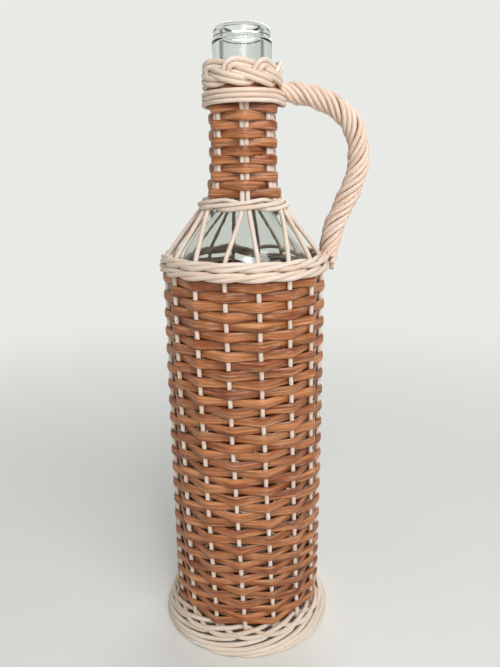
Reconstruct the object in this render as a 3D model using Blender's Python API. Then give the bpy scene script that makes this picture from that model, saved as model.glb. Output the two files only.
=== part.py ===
"""Wicker-covered bottle: a clear glass bottle in a woven jacket of brown strip and pale round cane.

The bottle stands on +Z with its axis through the origin, its front at -Y and its handle at +X.
Azimuths are in degrees from the front, turning towards the handle, and lengths are in metres.
"""

import math

import bmesh
import bpy
import numpy as np
from mathutils import Vector

MM = 0.001
FULL_TURN = 360.0

# Fits and drawing steps
CLEARANCE = 0.28 * MM
MERGE_DISTANCE = 0.003 * MM
ROUND_SIDES = 5
GLASS_SIDES = 24
ARC_STEP = 22.5
SHARP_ANGLE = 35.0
SLOPE_ROUNDS = 4
GAP_PIECES = 6

# Glass bottle, from its base up
GLASS_RADIUS = 37.8 * MM
GLASS_WALL = 2.8 * MM
GLASS_FLOOR = 4.0 * MM
HEEL_RADIUS = 16.0 * MM
SHOULDER_RADIUS = 34.0 * MM
NECK_ROOT_RADIUS = 14.0 * MM
GLASS_NECK_RADIUS = 12.3 * MM
BORE_RADIUS = 9.25 * MM
FINISH_RADIUS = 14.4 * MM
FINISH_BELOW_COLLAR = 4.5 * MM
FINISH_BEVEL = 1.6 * MM
RING_ABOVE_COLLAR = 9.8 * MM
GROOVE_RADIUS = 13.0 * MM
GROOVE_HEIGHT = 1.3 * MM
LIP_RADIUS = 13.6 * MM
LIP_HEIGHT = 4.7 * MM
LIP_ROUNDING = 1.3 * MM

# Canes and strips
STAKE_DIAMETER = 2.3 * MM
FOOT_CANE_DIAMETER = 1.9 * MM
FOOT_WEAVER_DIAMETER = 1.9 * MM
WALE_DIAMETER = 1.95 * MM
RING_DIAMETER = 1.9 * MM
BINDING_DIAMETER = 1.75 * MM
COLLAR_DIAMETER = 1.65 * MM
HANDLE_CANE_DIAMETER = 1.9 * MM
BASE_STICK_DIAMETER = 2.2 * MM
BASE_WEAVER_DIAMETER = 1.4 * MM
STRIP_THICKNESS = 0.9 * MM
NECK_STRIP_THICKNESS = 0.8 * MM
ROW_GAP = 0.35 * MM

# Stakes: how they stand on the body, lean over the shoulder and gather on the neck
STAKES = 16
FRONT_STAKE_AZIMUTH = -11.25
TWIST_AT_FOOT = 10.9
TWIST_POWER = 1.3
HOOK_RADIUS = 6.0 * MM
HOOK_REACH = 7.2 * MM
HOOK_HEIGHT = 4.0 * MM
BAND_BEND_RADIUS = 12.0 * MM
NECK_BEND_RADIUS = 10.0 * MM
RIB_FOOT_DROP = 0.6 * MM
RIB_FOOT_INSET = 0.85 * MM
RING_STAKE_RADIUS = 22.6 * MM
NECK_FLARE = 2.3 * MM
NECK_FLARE_HEIGHT = 12.0 * MM
NECK_FLARE_BEND = 30.0 * MM
STAKE_TOP_ABOVE_BINDING = 1.2 * MM
BODY_STOP_SHARES = (0.25, 0.5, 0.75)
GROUPS = 7
FRONT_GROUP_AZIMUTH = 4.45
GROUP_SIZES = (3, 2, 2, 2, 3, 2, 2)
FIRST_GROUP_STAKE = 9
PAIR_SPREAD = 4.8

# Heights of the woven parts, one on the other
FOOT_HEIGHT = 10.5 * MM
FOOT_ROWS = 3
BODY_WEAVE_HEIGHT = 187.2 * MM
BODY_ROWS = 40
WALE_ROUNDS = 2
SHOULDER_RISE = 21.4 * MM
NECK_WEAVE_HEIGHT = 43.6 * MM
NECK_ROWS = 11
BINDING_TURNS = 3
BINDING_GAP = 0.43 * MM
BINDING_STEPS = 24
COLLAR_HEIGHT = 12.9 * MM

# How high each cane of a wale lies, in canes, by how many stakes it has passed since it went behind one
WALE_CANES = 3
WALE_RISE_SHARES = {0: 0.5, 0.5: 0, 1: 0, 1.5: 0.5, 2: 1, 2.5: 1}
RING_RISE_SHARES = {0: 1, 0.5: 0, 1: 0.5, 1.5: 1, 2: 1.5, 2.5: 2}

# Foot border
FOOT_SWEEP_SPACINGS = 4.5
FOOT_STEPS_PER_SPACING = 2
FOOT_BORDER_WIDTH = 7.59 * MM
FOOT_LAYERS = 4
FOOT_START_AZIMUTH = 3.6
FOOT_OUT_SHARES = (0.4, 0.56, 0.7, 0.83, 0.93, 1, 0.97, 0.82, 0.6)

# Collar plait
COLLAR_LEADS = 3
COLLAR_BIGHTS = 8
COLLAR_STEPS = 10
COLLAR_LEAN = 16.0
COLLAR_DEPTH = 1.45 * MM
COLLAR_DEPTH_POWER = 0.5

# Handle
HANDLE_AZIMUTH = 90.0
HANDLE_STAND_OFF = 17.4 * MM
HANDLE_FOOT_OUT = 2.4 * MM
HANDLE_ROOT_DROP = 0.6 * MM
HANDLE_LAY_RADIUS = 4.25 * MM
HANDLE_CANES = 8
HANDLE_LAY_LENGTH = 36.0 * MM
HANDLE_STEPS_PER_LAY = 6
HANDLE_CORE_STEP = 6.0 * MM
HANDLE_PIECES = 8
HANDLE_OUT_SHARES = ((0.0, 0.0), (0.33, 0.022), (0.66, 0.09), (0.91, 0.21), (1.0, 0.38))
HANDLE_BACK_SHARES = ((0.89, 0.53), (0.556, 0.7), (0.235, 0.85), (0.0, 1.0))

# Woven base
BASE_LOWER_STICKS = 3
BASE_UPPER_STICKS = 2
BASE_CROSS_LENGTH = 12.0 * MM
BASE_FAN_RADIUS = 14.0 * MM
BASE_WEAVE_INNER = 15.5 * MM
BASE_WEAVE_PITCH = 2.4 * MM

# Mesh colours, linear, with roughness
PALE_CANE = ((0.78, 0.64, 0.50), 0.55)
PALE_PITH = ((0.84, 0.72, 0.58), 0.6)
BROWN_STRIP = ((0.36, 0.115, 0.045), 0.5)
CORE_CANE = ((0.62, 0.46, 0.32), 0.7)
CLEAR_GLASS = ((0.80, 0.88, 0.84), 0.05)


def clear_scene():
    """Start from an empty scene."""
    for thing in list(bpy.data.objects):
        bpy.data.objects.remove(thing, do_unlink=True)


def finish(name, look, alpha=1.0):
    """A plain material of one colour and roughness."""
    colour, roughness = look
    material = bpy.data.materials.new(name)
    material.use_nodes = True
    shader = material.node_tree.nodes["Principled BSDF"]
    shader.inputs["Base Color"].default_value = (*colour, 1.0)
    shader.inputs["Roughness"].default_value = roughness
    shader.inputs["Metallic"].default_value = 0.0
    shader.inputs["Alpha"].default_value = alpha
    return material


def add_object(name, data, material):
    """Link mesh or curve data into the scene under a node's name."""
    data.materials.append(material)
    thing = bpy.data.objects.new(name, data)
    bpy.context.scene.collection.objects.link(thing)
    return thing


def place(radius, azimuth, height):
    """A point at a radius and an azimuth round the bottle."""
    turn = math.radians(azimuth)
    return Vector((radius * math.sin(turn), -radius * math.cos(turn), height))


def outline_guide(name, points):
    """A closed outline that canes or strips are drawn along a route with."""
    data = bpy.data.curves.new(name, "CURVE")
    data.dimensions = "2D"
    data.fill_mode = "NONE"
    spline = data.splines.new("POLY")
    spline.points.add(len(points) - 1)
    for point, (across, up) in zip(spline.points, points):
        point.co = (across, up, 0, 1)
    spline.use_cyclic_u = True
    guide = bpy.data.objects.new(name, data)
    bpy.context.scene.collection.objects.link(guide)
    guide.hide_render = True
    guide.display_type = "WIRE"
    return guide


def unit_round(sides):
    """A regular outline of radius 1, which each cane scales by its own radius."""
    turns = [2 * math.pi * side / sides for side in range(sides)]
    return [(math.sin(turn), math.cos(turn)) for turn in turns]


def strip_outline(thickness, width):
    """A split strip: flat on its inner side and crowned on its outer one."""
    across, up = thickness / 2, width / 2
    return [(-across, -up), (-across, up), (across, 0)]


def draw(name, route, guide, scale, material, closed=False, upright=False):
    """Draw an outline along a route: a cane, or with upright a strip that keeps its width vertical."""
    data = bpy.data.curves.new(name, "CURVE")
    data.dimensions = "3D"
    data.twist_mode = "Z_UP" if upright else "MINIMUM"
    data.bevel_mode = "OBJECT"
    data.bevel_object = guide
    data.use_fill_caps = True
    data.render_resolution_u = 0
    spline = data.splines.new("POLY")
    spline.points.add(len(route) - 1)
    for point, where in zip(spline.points, route):
        point.co = (*where, 1.0)
        point.radius = scale
    spline.use_cyclic_u = closed
    spline.use_smooth = True
    return add_object(name, data, material)


def rounded(corners, arc_step=ARC_STEP):
    """An outline through corners (x, y, bend radius), each corner turned by an arc."""
    points = [corners[0][:2]]
    for before, corner, after in zip(corners, corners[1:], corners[2:]):
        here = Vector(corner[:2])
        arrive = (here - Vector(before[:2])).normalized()
        leave = (Vector(after[:2]) - here).normalized()
        turn = arrive.angle(leave)
        if corner[2] == 0 or turn == 0:
            points.append(tuple(here))
            continue
        start = here - arrive * corner[2] * math.tan(turn / 2)
        side = Vector((-arrive.y, arrive.x))
        if side.dot(leave) < 0:
            side = -side
        centre = start + side * corner[2]
        steps = max(1, round(math.degrees(turn) / arc_step))
        for step in range(steps + 1):
            swept = turn * step / steps
            offset = arrive * math.sin(swept) - side * math.cos(swept)
            points.append(tuple(centre + offset * corner[2]))
    points.append(corners[-1][:2])
    return points


def smooth_route(points, pieces):
    """A smooth curve through points, as evenly spaced points."""
    knots = [2 * points[0] - points[1], *points, 2 * points[-1] - points[-2]]
    curve = []
    for before, start, end, after in zip(knots, knots[1:], knots[2:], knots[3:]):
        for step in range(pieces):
            t = step / pieces
            ahead, pull = (after - start) / 2, (end - before) / 2
            curve.append(
                start * (2 * t**3 - 3 * t**2 + 1) + end * (3 * t**2 - 2 * t**3)
                + pull * (t**3 - 2 * t**2 + t) + ahead * (t**3 - t**2)
            )
    curve.append(points[-1])
    return curve


def spaced(curve, count):
    """Points at even distances along a curve, with its direction at each."""
    path = np.array([tuple(point) for point in curve])
    lengths = np.concatenate([[0], np.cumsum(np.linalg.norm(np.diff(path, axis=0), axis=1))])
    stops = np.linspace(0, lengths[-1], count)
    spots = np.stack([np.interp(stops, lengths, path[:, axis]) for axis in range(3)], axis=1)
    ways = np.gradient(spots, axis=0)
    ways /= np.linalg.norm(ways, axis=1)[:, None]
    return spots, ways, lengths[-1]


# Heights and radii that follow from the sizes above

flat_share = math.cos(math.pi / ROUND_SIDES)
stick_flat = BASE_STICK_DIAMETER / 2 * flat_share
arm_height = 2 * stick_flat + BASE_STICK_DIAMETER / 2 + CLEARANCE
arm_reach = (BASE_STICK_DIAMETER + BASE_WEAVER_DIAMETER) / 2 + CLEARANCE
base_arms = 2 * (BASE_LOWER_STICKS + BASE_UPPER_STICKS)
glass_seat = arm_height + arm_reach + BASE_WEAVER_DIAMETER / 2 + CLEARANCE
foot_row_pitch = FOOT_WEAVER_DIAMETER + ROW_GAP
body_bottom = FOOT_HEIGHT + FOOT_ROWS * foot_row_pitch
body_pitch = BODY_WEAVE_HEIGHT / BODY_ROWS
body_top = body_bottom + BODY_WEAVE_HEIGHT
wale_lift = WALE_DIAMETER + ROW_GAP
band_top = body_top + 2 * WALE_ROUNDS * wale_lift
ring_bottom = band_top + SHOULDER_RISE
ring_lift = RING_DIAMETER + CLEARANCE
neck_bottom = ring_bottom + WALE_CANES * ring_lift
neck_pitch = NECK_WEAVE_HEIGHT / NECK_ROWS
neck_top = neck_bottom + NECK_WEAVE_HEIGHT
binding_pitch = BINDING_DIAMETER + BINDING_GAP
binding_top = neck_top + BINDING_TURNS * binding_pitch
stake_top = binding_top + STAKE_TOP_ABOVE_BINDING
collar_top = binding_top + COLLAR_HEIGHT
collar_middle = binding_top + COLLAR_HEIGHT / 2
glass_top = collar_top + RING_ABOVE_COLLAR + GROOVE_HEIGHT + LIP_HEIGHT

inner_strip_radius = GLASS_RADIUS + CLEARANCE + STRIP_THICKNESS / 2
stake_radius = inner_strip_radius + (STRIP_THICKNESS + STAKE_DIAMETER) / 2 + CLEARANCE
base_arm_radius = stake_radius - HOOK_REACH - STAKE_DIAMETER / 2 - CLEARANCE
neck_inner_radius = GLASS_NECK_RADIUS + CLEARANCE + NECK_STRIP_THICKNESS / 2
neck_reach = (NECK_STRIP_THICKNESS + STAKE_DIAMETER) / 2 + CLEARANCE
neck_stake_radius = (neck_inner_radius + neck_reach) / math.cos(math.radians(2 * PAIR_SPREAD))
body_spacing = FULL_TURN / STAKES
first_stake = 1 - STAKES // 2
group_spacing = FULL_TURN / GROUPS

rib_foot = Vector((stake_radius - RIB_FOOT_INSET, band_top - RIB_FOOT_DROP))
rib_top = Vector((RING_STAKE_RADIUS, ring_bottom))
rib_slope = (rib_top.x - rib_foot.x) / (rib_top.y - rib_foot.y)
rib_lean = math.atan(-rib_slope)


def stake_profile():
    """Radius and height down the middle of a stake, from under the bottle to the collar."""
    band_corner = rib_foot.y + (stake_radius - rib_foot.x) / rib_slope
    flare_radius = neck_stake_radius + NECK_FLARE
    flare_height = rib_top.y + (flare_radius - rib_top.x) / rib_slope
    return rounded([
        (stake_radius - HOOK_REACH, HOOK_HEIGHT, 0),
        (stake_radius, HOOK_HEIGHT, HOOK_RADIUS),
        (stake_radius, band_corner, BAND_BEND_RADIUS),
        (flare_radius, flare_height, NECK_BEND_RADIUS),
        (neck_stake_radius, flare_height + NECK_FLARE_HEIGHT, NECK_FLARE_BEND),
        (neck_stake_radius, stake_top, 0),
    ], arc_step=ARC_STEP)


stake_line = stake_profile()
stake_heights = [height for radius, height in stake_line]
stake_radii = [radius for radius, height in stake_line]
hook_points = sum(height < body_bottom for height in stake_heights)


def stake_at(height):
    """Radius of the stakes' middle line at a height, and their lean there in radians."""
    step = STAKE_DIAMETER / 4
    low, radius, high = (
        float(np.interp(height + way * step, stake_heights[hook_points:], stake_radii[hook_points:]))
        for way in (-1, 0, 1)
    )
    return radius, math.atan2(abs(high - low), 2 * step)


def stake_azimuth(index, height):
    """Azimuth of a body stake, which twists a little towards the foot."""
    share = max(0, (body_top - height) / BODY_WEAVE_HEIGHT)
    return FRONT_STAKE_AZIMUTH + index * body_spacing + TWIST_AT_FOOT * share**TWIST_POWER


def passing_radius(height, thickness, front, step=0):
    """Radius of a weaver's middle where it passes a stake, in front of it or behind.

    With step, the weaver runs straight from behind the last stake to the front of this one,
    and stands off by as much as that slope needs.
    """
    radius, lean = stake_at(height)
    reach = ((STAKE_DIAMETER + thickness) / 2 + CLEARANCE) / math.cos(lean)
    if not front:
        return radius - reach
    outer = radius + reach
    if step:
        turn = math.radians(step)
        inner = radius - reach
        for _ in range(SLOPE_ROUNDS):
            slope = math.atan2(outer - inner * math.cos(turn), inner * math.sin(turn))
            outer = radius + reach / math.cos(slope)
    return outer


def group_azimuth(group):
    """Azimuth of a group of stakes on the neck."""
    return FRONT_GROUP_AZIMUTH + group * group_spacing


def stake_groups():
    """For each stake, counted from the front one, its azimuth on the neck."""
    azimuths = {}
    stake = FIRST_GROUP_STAKE
    for group, size in enumerate(GROUP_SIZES):
        group -= GROUPS // 2
        for place_in_group in range(size):
            offset = (2 * place_in_group - (size - 1)) * PAIR_SPREAD
            azimuths[stake % STAKES] = group_azimuth(group) + offset
            stake += 1
    return azimuths


def level_walk(count, rows, bottom, pitch, first=0):
    """Steps of a weaver that goes round in level rows: station, row and height."""
    for row in range(rows):
        for station in range(count):
            if row == 0 and station < first:
                continue
            yield station, row, bottom + (row + 0.5) * pitch


def body_route(rows, bottom, pitch, thickness):
    """A weaver round the body, in front of every other stake, with a step up at the back.

    Its top row passes each stake on the side that the lowest row above it leaves free.
    """
    route = []
    for station, row, height in level_walk(STAKES, rows, bottom, pitch):
        azimuth = stake_azimuth(first_stake + station, height)
        front = (station + rows - row) % 2 == 1
        if station == 0 and row > 0:
            route.append(place(stake_at(height)[0], azimuth - body_spacing / 2, height - pitch / 2))
        radius = passing_radius(height, thickness, front, body_spacing)
        route.append(place(radius, azimuth, height))
    return route


def group_crossing(station, height, thickness, width, margin, front):
    """Half angle and radius of the two corners where a weaver passes a group of stakes."""
    size = GROUP_SIZES[station % GROUPS]
    spread = PAIR_SPREAD * (size - 1)
    nearest = PAIR_SPREAD * (1 - size % 2)
    half = spread + math.degrees(margin / stake_at(height)[0])
    reach = (STAKE_DIAMETER + thickness) / 2 + CLEARANCE
    passing = []
    for edge in (-width / 2, 0, width / 2):
        radius, lean = stake_at(height + edge)
        if front:
            passing.append(radius * math.cos(math.radians(nearest)) + reach / math.cos(lean))
        else:
            passing.append(radius * math.cos(math.radians(spread)) - reach / math.cos(lean))
    flat = max(passing) if front else min(passing)
    return half, flat / math.cos(math.radians(half))


def neck_route():
    """The neck strip, in front of every other group, then once round outside them all."""
    route = []
    width = neck_pitch - ROW_GAP
    for station, row, height in level_walk(GROUPS, NECK_ROWS + 1, neck_bottom, neck_pitch, 1):
        front = (station + row) % 2 == 0 or row == NECK_ROWS
        half, radius = group_crossing(station, height, NECK_STRIP_THICKNESS, width, STAKE_DIAMETER / 2, front)
        for side in (-1, 1):
            route.append(place(radius, group_azimuth(station - GROUPS // 2) + side * half, height))
    return route


def wale_route(cane):
    """One of the canes that weave the shoulder band: in front of two stakes and behind one."""
    route = []
    last = WALE_ROUNDS * STAKES - 1
    last_behind = last - (last - cane) % WALE_CANES
    for half_step in range(2 * cane, 2 * last_behind + 1):
        station = half_step / 2
        phase = (station - cane) % WALE_CANES
        round_height = body_top + 2 * wale_lift * (half_step // (2 * STAKES))
        if half_step % (2 * STAKES) == 2 * STAKES - 1:
            round_height += wale_lift
        height = round_height + (WALE_RISE_SHARES[phase] + 0.5) * wale_lift
        radius = stake_at(height)[0]
        if phase in (1, 1.5, 2):
            radius = passing_radius(height, WALE_DIAMETER, True)
        elif phase == 0:
            radius = passing_radius(height, WALE_DIAMETER, False)
        route.append(place(radius, stake_azimuth(first_stake + station, height), height))
    return route


def ring_route(cane):
    """One of the canes round the root of the neck: in front of two groups and behind one."""
    route = []
    for half_step in range(2 * cane + 1, 2 * (cane + GROUPS - 1) + 1):
        station = half_step / 2
        phase = (station - cane) % WALE_CANES
        height = ring_bottom + (RING_RISE_SHARES[phase] + 0.5) * ring_lift
        if half_step % 2:
            radius = stake_at(height)[0]
            if phase == 1.5:
                radius = passing_radius(height, RING_DIAMETER, True)
            route.append(place(radius, group_azimuth(station - GROUPS // 2), height))
            continue
        half, radius = group_crossing(half_step // 2, height, RING_DIAMETER, 0, STAKE_DIAMETER, phase != 0)
        for side in (-1, 1):
            route.append(place(radius, group_azimuth(station - GROUPS // 2) + side * half, height))
    return route


def binding_radius():
    """Radius of the binding's middle, over the strip that passes outside the stakes."""
    under = neck_stake_radius + neck_reach + NECK_STRIP_THICKNESS / 2
    return under / math.cos(math.radians(3 * PAIR_SPREAD)) + CLEARANCE + BINDING_DIAMETER / 2


def binding_route():
    """Turns of cane round the top of the neck weave, each end straight for one diameter."""
    count = BINDING_TURNS * BINDING_STEPS
    end = binding_top - (BINDING_DIAMETER + CLEARANCE) / 2
    route = []
    for step in range(count + 1):
        azimuth = HANDLE_AZIMUTH + FULL_TURN * step / BINDING_STEPS
        route.append(place(binding_radius(), azimuth, end - binding_pitch * (count - step) / BINDING_STEPS))
    tangent = place(1, HANDLE_AZIMUTH + FULL_TURN / 4, 0) * BINDING_DIAMETER
    return [route[0] - tangent, *route, route[-1] + tangent]


def least_self_gap(route, diameter, apart):
    """Least gap between stretches of one cane that lie at least apart points from each other."""
    spots = np.array([tuple(point) for point in route])
    shares = np.arange(GAP_PIECES) / GAP_PIECES
    fine = np.concatenate([spots[:-1] + (spots[1:] - spots[:-1]) * share for share in shares])
    order = np.concatenate([np.arange(len(spots) - 1) + share for share in shares])
    gaps = np.linalg.norm(fine[:, None] - fine[None], axis=2)
    near = np.abs(order[:, None] - order[None]) < apart
    return float(np.where(near, np.inf, gaps).min()) - diameter


def collar_routes():
    """Two canes side by side that plait with themselves three times round the neck."""
    offset = (COLLAR_DIAMETER + CLEARANCE) / 2
    swing = COLLAR_HEIGHT / 2 - offset - COLLAR_DIAMETER / 2
    middle = binding_radius() - COLLAR_DEPTH / 2
    count = COLLAR_BIGHTS * COLLAR_STEPS
    line = []
    for step in range(-1, count + 1):
        wave = 2 * math.pi * step / COLLAR_STEPS
        height = swing * math.cos(wave)
        lean = COLLAR_LEAN * height / (2 * swing)
        azimuth = COLLAR_LEADS * FULL_TURN * step / count - lean
        twist = math.sin(2 * wave)
        depth = COLLAR_DEPTH * math.copysign(abs(twist) ** COLLAR_DEPTH_POWER, twist)
        line.append((azimuth, height, middle + depth))
    routes = []
    for side in (-1, 1):
        route = []
        for before, here, after in zip(line, line[1:], line[2:]):
            along = math.radians(after[0] - before[0]) * middle
            up = after[1] - before[1]
            length = math.hypot(along, up)
            turned = math.degrees(-side * offset * up / length / middle)
            height = collar_middle + here[1] + side * offset * along / length
            route.append(place(here[2], here[0] + turned, height))
        routes.append(route)
    return routes


def foot_route(stake):
    """A cane that starts beside a stake and lies in a long falling arc round the foot."""
    steps = int(FOOT_SWEEP_SPACINGS * FOOT_STEPS_PER_SPACING)
    fall = FOOT_CANE_DIAMETER + CLEARANCE
    floor = FOOT_CANE_DIAMETER / 2 * flat_share
    reach = FOOT_BORDER_WIDTH - FOOT_CANE_DIAMETER / 2
    start_azimuth = stake_azimuth(stake, FOOT_HEIGHT) - FOOT_START_AZIMUTH
    start = place(stake_radius + STAKE_DIAMETER / 2, start_azimuth, floor + FOOT_LAYERS * fall)
    route = [start]
    out_steps = np.linspace(1, len(FOOT_OUT_SHARES), steps) - 1
    for step, out_step in enumerate(out_steps, start=1):
        out = float(np.interp(out_step, range(len(FOOT_OUT_SHARES)), FOOT_OUT_SHARES))
        swept = step / FOOT_STEPS_PER_SPACING
        height = floor + max(0, FOOT_LAYERS - swept) * fall
        azimuth = stake_azimuth(stake, 0) - swept * body_spacing
        route.append(place(stake_radius + reach * out, azimuth, height))
    return route


def handle_line():
    """Middle line of the handle, from the collar's foot out and down to the shoulder band."""
    root_radius = binding_radius() + (COLLAR_DEPTH + COLLAR_DIAMETER) / 2 + CLEARANCE
    root_height = binding_top - HANDLE_ROOT_DROP
    foot_radius = stake_radius + HANDLE_FOOT_OUT
    foot_height = band_top + CLEARANCE
    reach = stake_radius + HANDLE_STAND_OFF
    points = []
    for start_radius, shares in ((root_radius, HANDLE_OUT_SHARES), (foot_radius, HANDLE_BACK_SHARES)):
        for out, down in shares:
            radius = start_radius + out * (reach - start_radius)
            height = root_height - down * (root_height - foot_height)
            points.append(place(radius, HANDLE_AZIMUTH, height))
    return smooth_route(points, HANDLE_PIECES)


def handle_cane_route(cane):
    """One of the canes laid round the handle's core."""
    length = spaced(handle_line(), 2)[2]
    count = round(length / HANDLE_LAY_LENGTH * HANDLE_STEPS_PER_LAY) + 1
    spots, ways, length = spaced(handle_line(), count)
    across = np.array(place(1, HANDLE_AZIMUTH + 90, 0))
    route = []
    for spot, way, stop in zip(spots, ways, np.linspace(0, length, count)):
        inward = np.cross(across, way)
        turn = 2 * math.pi * (stop / HANDLE_LAY_LENGTH + cane / HANDLE_CANES)
        route.append(spot + HANDLE_LAY_RADIUS * (inward * math.cos(turn) + across * math.sin(turn)))
    return route


def base_stick_route(stick, lower):
    """A base stick: straight where the sticks cross, then fanned out to two arms."""
    sticks = BASE_LOWER_STICKS if lower else BASE_UPPER_STICKS
    place_across = stick - (sticks - 1) / 2
    fan = FULL_TURN / 2 / (BASE_LOWER_STICKS + BASE_UPPER_STICKS)
    spacing = BASE_STICK_DIAMETER + CLEARANCE
    height = stick_flat if lower else arm_height
    cross = BASE_CROSS_LENGTH / 2
    route = []
    for way in (-1, 1):
        half = [Vector((way * cross, place_across * spacing, height))]
        angle = math.radians(way * place_across * fan)
        for radius in (BASE_FAN_RADIUS, base_arm_radius):
            half.append(Vector((way * radius * math.cos(angle), way * radius * math.sin(angle), arm_height)))
        route += half[::-1] if way < 0 else half
    if not lower:
        route = [Vector((-point.y, point.x, point.z)) for point in route]
    return route


def base_weaver_route():
    """A thin cane that spirals out over and under the arms of the base."""
    reach = base_arm_radius - BASE_WEAVER_DIAMETER - BASE_WEAVE_INNER
    turns = int(reach / BASE_WEAVE_PITCH)
    route = []
    for turn in range(turns):
        for arm in range(base_arms):
            share = (turn + arm / base_arms) / turns
            side = 1 if (turn + arm) % 2 else -1
            azimuth = HANDLE_AZIMUTH + arm * FULL_TURN / base_arms
            route.append(place(BASE_WEAVE_INNER + reach * share, azimuth, arm_height + side * arm_reach))
    return route


def glass_outline():
    """The bottle's outline: up the outside, over the lip and down the inside."""
    rib_to_glass = STAKE_DIAMETER / 2 + RING_DIAMETER + 3 * CLEARANCE
    cone_foot = rib_foot.x - rib_to_glass * math.cos(rib_lean)
    cone_height = rib_foot.y - rib_to_glass * math.sin(rib_lean)
    shoulder = cone_height + (GLASS_RADIUS - cone_foot) / rib_slope
    neck_root = cone_height + (GLASS_NECK_RADIUS - cone_foot) / rib_slope
    finish_foot = collar_top - FINISH_BELOW_COLLAR
    ring_top = collar_top + RING_ABOVE_COLLAR
    groove_top = ring_top + GROOVE_HEIGHT
    outer = rounded([
        (0, glass_seat, 0),
        (GLASS_RADIUS, glass_seat, HEEL_RADIUS),
        (GLASS_RADIUS, shoulder, SHOULDER_RADIUS),
        (GLASS_NECK_RADIUS, neck_root, NECK_ROOT_RADIUS),
        (GLASS_NECK_RADIUS, finish_foot - FINISH_BEVEL, 0),
        (FINISH_RADIUS, finish_foot, 0),
        (FINISH_RADIUS, ring_top, 0),
        (GROOVE_RADIUS, ring_top, 0),
        (GROOVE_RADIUS, groove_top, 0),
        (LIP_RADIUS, groove_top, 0),
        (LIP_RADIUS, glass_top, LIP_ROUNDING),
        (BORE_RADIUS, glass_top, 0),
    ])
    wall = GLASS_WALL
    inner_radius = GLASS_RADIUS - wall
    inner_floor = glass_seat + GLASS_FLOOR
    cone_inner_foot = cone_foot - wall * math.cos(rib_lean)
    cone_inner_height = cone_height - wall * math.sin(rib_lean)
    inner_shoulder = cone_inner_height + (inner_radius - cone_inner_foot) / rib_slope
    inner_neck = cone_inner_height + (BORE_RADIUS - cone_inner_foot) / rib_slope
    inner = rounded([
        (BORE_RADIUS, glass_top, 0),
        (BORE_RADIUS, inner_neck, NECK_ROOT_RADIUS + wall),
        (inner_radius, inner_shoulder, SHOULDER_RADIUS - wall),
        (inner_radius, inner_floor, HEEL_RADIUS - wall),
        (0, inner_floor, 0),
    ])
    return outer + inner[1:]


def turn_glass(name, outline, material):
    """Spin an outline round the bottle's axis into one closed wall."""
    shape = bmesh.new()
    spots = [shape.verts.new((radius, 0, height)) for radius, height in outline]
    edges = [shape.edges.new(pair) for pair in zip(spots, spots[1:])]
    bmesh.ops.spin(
        shape, geom=spots + edges, cent=(0, 0, 0), axis=(0, 0, 1), dvec=(0, 0, 0),
        angle=2 * math.pi, steps=GLASS_SIDES, use_merge=True, use_duplicate=False,
    )
    bmesh.ops.remove_doubles(shape, verts=shape.verts, dist=MERGE_DISTANCE)
    bmesh.ops.recalc_face_normals(shape, faces=shape.faces)
    mesh = bpy.data.meshes.new(name)
    shape.to_mesh(mesh)
    shape.free()
    mesh.shade_smooth()
    mesh.set_sharp_from_angle(angle=math.radians(SHARP_ANGLE))
    return add_object(name, mesh, material)


def stake_route(stake, neck_azimuths):
    """A stake: up the body, over the bare shoulder as a rib, and up the neck in its group."""
    neck_azimuth = neck_azimuths[stake % STAKES]
    stops = [body_bottom + BODY_WEAVE_HEIGHT * share for share in BODY_STOP_SHARES]
    stops = [(stake_at(height)[0], height) for height in [*stops, rib_top.y]]
    stations = sorted([*stake_line[hook_points:], *stops], key=lambda spot: spot[1])
    stations = [*stake_line[:hook_points], *stations]
    body_azimuth = stake_azimuth(stake, body_top)
    around = (neck_azimuth - body_azimuth + FULL_TURN / 2) % FULL_TURN - FULL_TURN / 2
    start = place(rib_foot.x, body_azimuth, rib_foot.y)
    end = place(rib_top.x, body_azimuth + around, rib_top.y)
    route = []
    for radius, height in stations:
        share = (height - rib_foot.y) / (rib_top.y - rib_foot.y)
        if share <= 0:
            azimuth = stake_azimuth(stake, height)
        elif share >= 1:
            azimuth = body_azimuth + around
        else:
            spot = start.lerp(end, share)
            azimuth = math.degrees(math.atan2(spot.x, -spot.y))
        route.append(place(radius, azimuth, height))
    return route


clear_scene()
round_guide = outline_guide("round_outline", unit_round(ROUND_SIDES))
winding_guide = outline_guide("winding_outline", unit_round(ROUND_SIDES + 1))
body_strip_width, neck_strip_width = body_pitch - ROW_GAP, neck_pitch - ROW_GAP
body_strip_guide = outline_guide("body_strip_outline", strip_outline(STRIP_THICKNESS, body_strip_width))
neck_strip_guide = outline_guide("neck_strip_outline", strip_outline(NECK_STRIP_THICKNESS, neck_strip_width))

turn_glass("glass_bottle", glass_outline(), finish("clear_glass", CLEAR_GLASS, alpha=0.4))

neck_azimuths = stake_groups()
for number in range(STAKES):
    label = f"{number + 1:02d}"
    stake = first_stake + number
    draw(f"stake_{label}", stake_route(stake, neck_azimuths), round_guide, STAKE_DIAMETER / 2,
         finish(f"stake_{label}_cane", PALE_CANE))
    draw(f"foot_cane_{label}", foot_route(stake), round_guide, FOOT_CANE_DIAMETER / 2,
         finish(f"foot_cane_{label}_cane", PALE_CANE), upright=True)

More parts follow.
